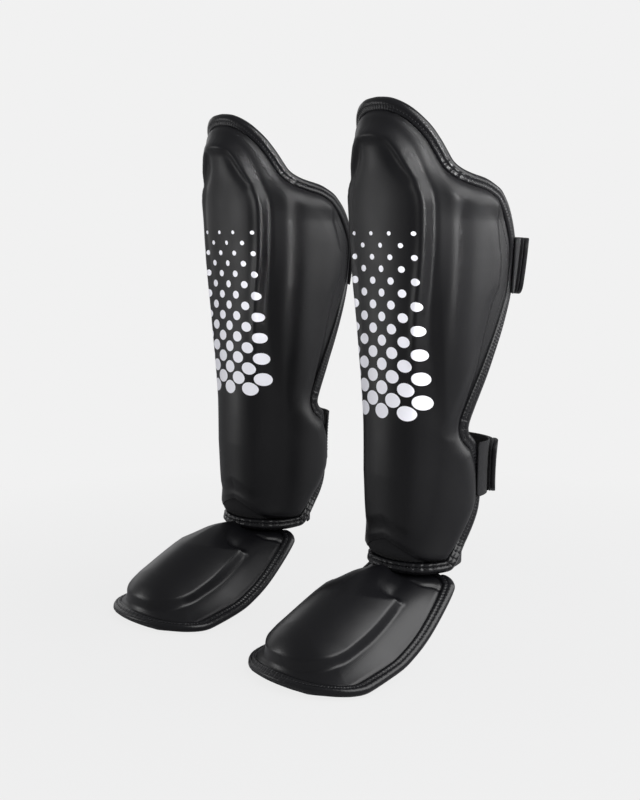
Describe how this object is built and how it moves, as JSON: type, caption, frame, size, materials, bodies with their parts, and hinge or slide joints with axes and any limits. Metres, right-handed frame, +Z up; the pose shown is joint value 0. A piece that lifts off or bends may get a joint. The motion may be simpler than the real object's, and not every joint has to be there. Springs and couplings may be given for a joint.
{
  "type": "shin guard",
  "caption": "Pair of padded shin-and-instep guards: moulded shin shell with bound edges, hinged instep pad, elastic straps that close round the calf.",
  "frame": {"origin": "on the floor plane, midway between the two leg axes of a standing wearer", "axes": "+Z up the leg, -Y towards the toes, +X towards the wearer's left"},
  "size_m": [0.341, 0.2519, 0.4571],
  "materials": {
    "pu_leather": "semi-matt grained PU leather",
    "binding_vinyl": "glossier folded binding tape",
    "foam": "moulded closed-cell foam, sealed inside",
    "lining_cloth": "brushed lining cloth",
    "neoprene": "cloth-faced neoprene",
    "elastic": "woven elastic webbing",
    "hook_tape": "hook side of hook-and-loop tape",
    "loop_tape": "napped loop side of hook-and-loop tape"
  },
  "bodies": {
    "left_shin": {"left_shin_lining": "lining_cloth", "left_shin_cover": "pu_leather", "left_ankle_panel": "neoprene", "left_shin_foam": "foam", "left_shin_plate_foam": "foam", "left_shin_binding": "binding_vinyl", "left_ankle_gusset": "neoprene", "left_ankle_band": "elastic", "left_upper_loop_panel": "loop_tape", "left_upper_strap_anchor": "elastic", "left_lower_loop_panel": "loop_tape", "left_lower_strap_anchor": "elastic"},
    "left_upper_strap": {"left_upper_strap": "elastic", "left_upper_hook_pad": "hook_tape", "left_upper_strap_tab": "pu_leather"},
    "left_lower_strap": {"left_lower_strap": "elastic", "left_lower_hook_pad": "hook_tape", "left_lower_strap_tab": "pu_leather"},
    "left_foot": {"left_foot_lining": "lining_cloth", "left_foot_cover": "pu_leather", "left_foot_foam": "foam", "left_foot_dome_foam": "foam", "left_foot_binding": "binding_vinyl", "left_sole_strap": "elastic"},
    "right_shin": {"right_shin_lining": "lining_cloth", "right_shin_cover": "pu_leather", "right_ankle_panel": "neoprene", "right_shin_foam": "foam", "right_shin_plate_foam": "foam", "right_shin_binding": "binding_vinyl", "right_ankle_gusset": "neoprene", "right_ankle_band": "elastic", "right_upper_loop_panel": "loop_tape", "right_upper_strap_anchor": "elastic", "right_lower_loop_panel": "loop_tape", "right_lower_strap_anchor": "elastic"},
    "right_upper_strap": {"right_upper_strap": "elastic", "right_upper_hook_pad": "hook_tape", "right_upper_strap_tab": "pu_leather"},
    "right_lower_strap": {"right_lower_strap": "elastic", "right_lower_hook_pad": "hook_tape", "right_lower_strap_tab": "pu_leather"},
    "right_foot": {"right_foot_lining": "lining_cloth", "right_foot_cover": "pu_leather", "right_foot_foam": "foam", "right_foot_dome_foam": "foam", "right_foot_binding": "binding_vinyl", "right_sole_strap": "elastic"}
  },
  "joints": [
    {"name": "right_guard_lift", "type": "slide", "parent": "left_shin", "child": "right_shin", "axis": [0, 0, 1], "range_m": [0, 0.3]},
    {"name": "left_ankle_flex", "type": "hinge", "parent": "left_shin", "child": "left_foot", "pos_m": [0.104, -0.02211, 0.08216], "axis": [1, 0, 0], "range_deg": [0, 25]},
    {"name": "left_upper_strap_open", "type": "hinge", "parent": "left_shin", "child": "left_upper_strap", "pos_m": [0.06822, 0.0614, 0.3229], "axis": [0, 0, 1], "range_deg": [0, 95]},
    {"name": "left_lower_strap_open", "type": "hinge", "parent": "left_shin", "child": "left_lower_strap", "pos_m": [0.0715, 0.03199, 0.15702], "axis": [0, 0, 1], "range_deg": [0, 95]},
    {"name": "right_ankle_flex", "type": "hinge", "parent": "right_shin", "child": "right_foot", "pos_m": [-0.104, -0.02211, 0.08216], "axis": [1, 0, 0], "range_deg": [0, 25]},
    {"name": "right_upper_strap_open", "type": "hinge", "parent": "right_shin", "child": "right_upper_strap", "pos_m": [-0.06822, 0.0614, 0.3229], "axis": [0, 0, -1], "range_deg": [0, 95]},
    {"name": "right_lower_strap_open", "type": "hinge", "parent": "right_shin", "child": "right_lower_strap", "pos_m": [-0.0715, 0.03199, 0.15702], "axis": [0, 0, -1], "range_deg": [0, 95]}
  ]
}
